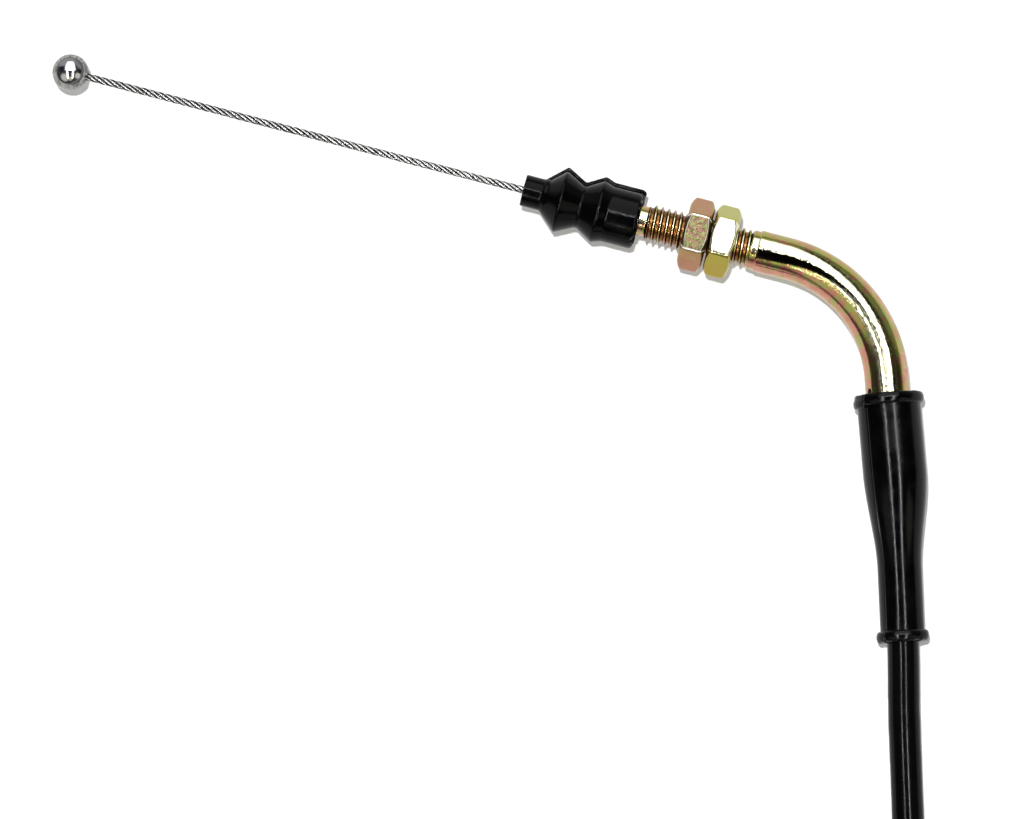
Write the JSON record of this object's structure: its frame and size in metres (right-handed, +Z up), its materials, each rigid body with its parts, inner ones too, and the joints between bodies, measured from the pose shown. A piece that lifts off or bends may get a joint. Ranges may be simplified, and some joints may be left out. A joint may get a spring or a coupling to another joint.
{
  "type": "throttle cable",
  "caption": "Throttle cable with a ball end on bare wire, a rubber dust boot, a threaded steel elbow with lock nuts, a rubber sleeve and a black casing wound into a tied coil.",
  "frame": {"origin": "on the surface that the cable lies on, under the middle of the box round the end that the picture shows, from the ball to the rubber sleeve", "axes": "+X from the ball along the bare wire and the thread, +Z up from the surface, and the elbow turns towards -Y"},
  "size_m": [0.1729, 0.1744, 0.0118],
  "materials": {
    "ball_steel": "polished",
    "strand_steel": "bright strands",
    "yellow_zinc": "yellow zinc plated, glossy, with olive, gold, rose and green tints",
    "rose_zinc": "yellow zinc plated with a rose tint, satin",
    "boot_rubber": "satin black",
    "sleeve_rubber": "satin black",
    "casing_plastic": "satin to glossy black",
    "liner_plastic": "natural white",
    "tie_plastic": "black"
  },
  "bodies": {
    "casing": {"dust_boot": "boot_rubber", "threaded_elbow": "yellow_zinc", "elbow_liner": "liner_plastic", "elbow_sleeve": "sleeve_rubber", "casing_run": "casing_plastic", "casing_coil": "casing_plastic", "casing_tail": "casing_plastic", "coil_tie_1": "tie_plastic", "coil_tie_2": "tie_plastic", "coil_tie_3": "tie_plastic", "far_sleeve": "sleeve_rubber", "far_adjuster": "yellow_zinc"},
    "ball_wire": {"ball_end": "ball_steel", "inner_wire": "strand_steel"},
    "far_pull": {"far_wire": "strand_steel", "barrel_nipple": "ball_steel"},
    "front_nut": {"front_nut": "rose_zinc"},
    "rear_nut": {"rear_nut": "yellow_zinc"},
    "far_inner_nut": {"far_inner_nut": "rose_zinc"},
    "far_outer_nut": {"far_outer_nut": "rose_zinc"}
  },
  "joints": [
    {"name": "wire_slide", "type": "slide", "parent": "casing", "child": "ball_wire", "axis": [1, 0, 0], "range_m": [0, 0.025]},
    {"name": "far_wire_slide", "type": "slide", "parent": "casing", "child": "far_pull", "axis": [-1, 0, 0], "range_m": [0, 0.025]},
    {"name": "front_nut_slide", "type": "slide", "parent": "casing", "child": "front_nut", "axis": [-1, 0, 0], "range_m": [0, 0.0052]},
    {"name": "rear_nut_slide", "type": "slide", "parent": "casing", "child": "rear_nut", "axis": [1, 0, 0], "range_m": [0, 0.0024]},
    {"name": "far_inner_nut_slide", "type": "slide", "parent": "casing", "child": "far_inner_nut", "axis": [1, 0, 0], "range_m": [0, 0.005]},
    {"name": "far_outer_nut_slide", "type": "slide", "parent": "casing", "child": "far_outer_nut", "axis": [-1, 0, 0], "range_m": [0, 0.005]}
  ],
  "couplings": [
    {"joint": "far_wire_slide", "follows": "wire_slide", "ratio": 1}
  ]
}
